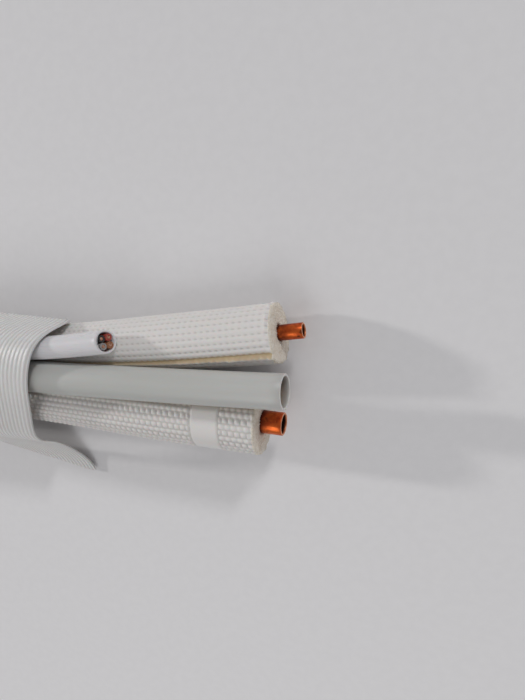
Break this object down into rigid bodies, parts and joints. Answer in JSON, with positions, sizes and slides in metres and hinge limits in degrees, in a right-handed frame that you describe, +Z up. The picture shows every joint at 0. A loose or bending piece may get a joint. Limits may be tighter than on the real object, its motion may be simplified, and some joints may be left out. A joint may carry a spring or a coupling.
{
  "type": "mini split line set",
  "caption": "Insulated copper line pair, drain pipe and cable bound with ribbed tape; joins the indoor and outdoor units of a small split air conditioner.",
  "frame": {"origin": "on the ground under the middle of the bundle's bounding box", "axes": "+X along the bundle toward the end with the loose tape tail, +Z up, +Y toward the liquid tube's side"},
  "size_m": [1.007, 0.092, 0.0418],
  "materials": {
    "copper_tube": "drawn copper, stained at the cut ends",
    "sleeve_foam": "white closed-cell foam with an embossed skin",
    "drain_pipe_plastic": "smooth satin grey-white",
    "cable_sheath_plastic": "smooth white",
    "core_black": "matt",
    "core_grey": "matt",
    "core_brown": "matt",
    "core_red": "matt",
    "core_copper": "bright cut strands",
    "tape_plastic": "white, finely ribbed along the strip"
  },
  "bodies": {
    "root": {"liquid_tube": "copper_tube", "suction_tube": "copper_tube", "liquid_tube_sleeve": "sleeve_foam", "suction_tube_sleeve": "sleeve_foam", "drain_pipe": "drain_pipe_plastic", "cable_sheath": "cable_sheath_plastic", "core_insulation_1": "core_black", "core_conductor_1": "core_copper", "core_insulation_2": "core_grey", "core_conductor_2": "core_copper", "core_insulation_3": "core_brown", "core_conductor_3": "core_copper", "core_insulation_4": "core_red", "core_conductor_4": "core_copper", "wrap_tape": "tape_plastic"}
  },
  "joints": []
}
